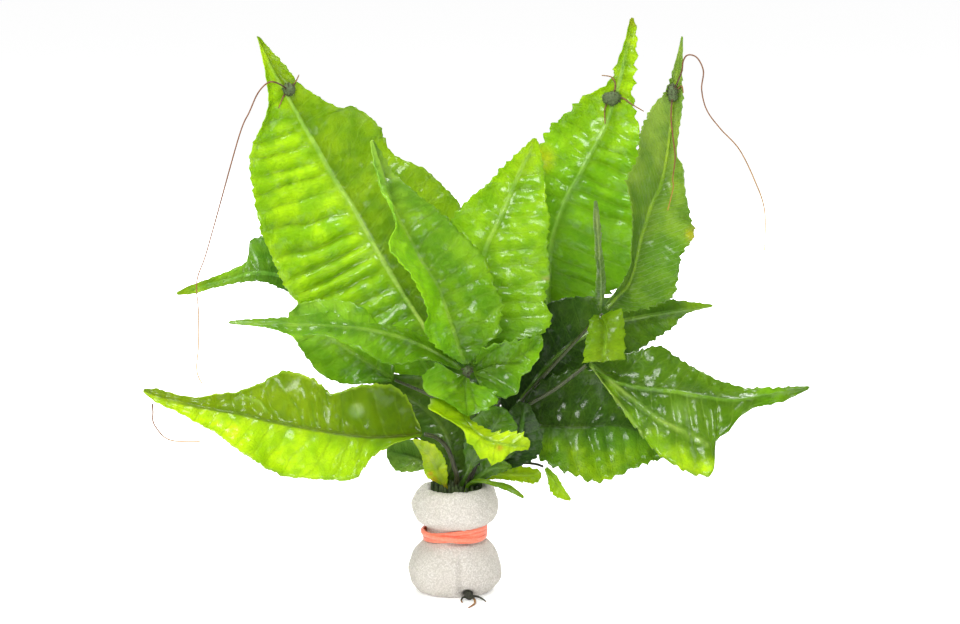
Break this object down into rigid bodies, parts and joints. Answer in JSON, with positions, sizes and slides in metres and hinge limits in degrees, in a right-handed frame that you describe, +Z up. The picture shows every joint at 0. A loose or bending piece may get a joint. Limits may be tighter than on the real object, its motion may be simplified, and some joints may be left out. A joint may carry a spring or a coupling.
{
  "type": "bolbitis fern bunch in foam wrap",
  "caption": "Bunch of aquarium fern fronds with plantlet buds and hair roots, its bases wrapped in a foam strip tied with a rubber band.",
  "frame": {"origin": "centre of the foam wrap's flat lower edge, which the bunch stands on", "axes": "+Z up; +X to the right as seen from the front; +Y from the front to the back of the bunch"},
  "size_m": [0.1893, 0.0763, 0.1649],
  "materials": {
    "leaf_fresh": "gloss",
    "leaf_yellow": "gloss",
    "leaf_deep": "gloss",
    "leaf_pale": "satin",
    "stalk": "satin",
    "root_hair": "satin",
    "bud": "matte",
    "rhizome_bark": "matte",
    "foam": "matte",
    "band_rubber": "satin"
  },
  "bodies": {
    "root": {"foam_wrap": "foam", "rubber_band": "band_rubber", "rhizome": "rhizome_bark", "stem_front": "stalk", "stem_tall_left": "stalk", "stem_back_left": "stalk", "stem_upper_middle": "stalk", "stem_upper_right": "stalk", "stem_right": "stalk", "stem_low_left": "stalk", "stem_crumpled": "stalk", "stem_torn": "stalk", "stem_narrow": "stalk", "leaf_tall_left": "leaf_fresh", "leaf_front_folded": "leaf_fresh", "leaf_centre_right": "leaf_fresh", "leaf_upper_middle": "leaf_fresh", "leaf_upper_right": "leaf_pale", "leaf_back_left": "leaf_deep", "leaf_left_pointed": "leaf_fresh", "leaf_left_crumpled": "leaf_fresh", "leaf_low_left": "leaf_yellow", "leaf_small_round": "leaf_deep", "leaf_spotted": "leaf_yellow", "leaflet_front_left": "leaf_fresh", "leaflet_front_right": "leaf_fresh", "leaf_front_torn": "leaf_yellow", "leaf_low_right": "leaf_deep", "leaf_long_right": "leaf_fresh", "leaf_middle_right": "leaf_deep", "leaf_upright_narrow": "leaf_pale", "leaf_square_bright": "leaf_yellow", "leaf_hanging_narrow": "leaf_yellow", "leaf_rim_sprig": "leaf_deep", "leaf_low_yellow": "leaf_yellow", "leaf_low_pointed": "leaf_deep", "leaf_shaded_left": "leaf_deep", "leaf_shaded_right": "leaf_deep", "leaf_grey_blade": "leaf_deep", "leaf_behind_middle": "leaf_deep", "leaf_behind_left": "leaf_fresh", "bud_left": "bud", "bud_middle": "bud", "bud_right": "bud", "bud_front": "bud", "root_left_long": "root_hair", "root_right_long": "root_hair", "root_right_down": "root_hair", "root_low_left": "root_hair"}
  },
  "joints": []
}
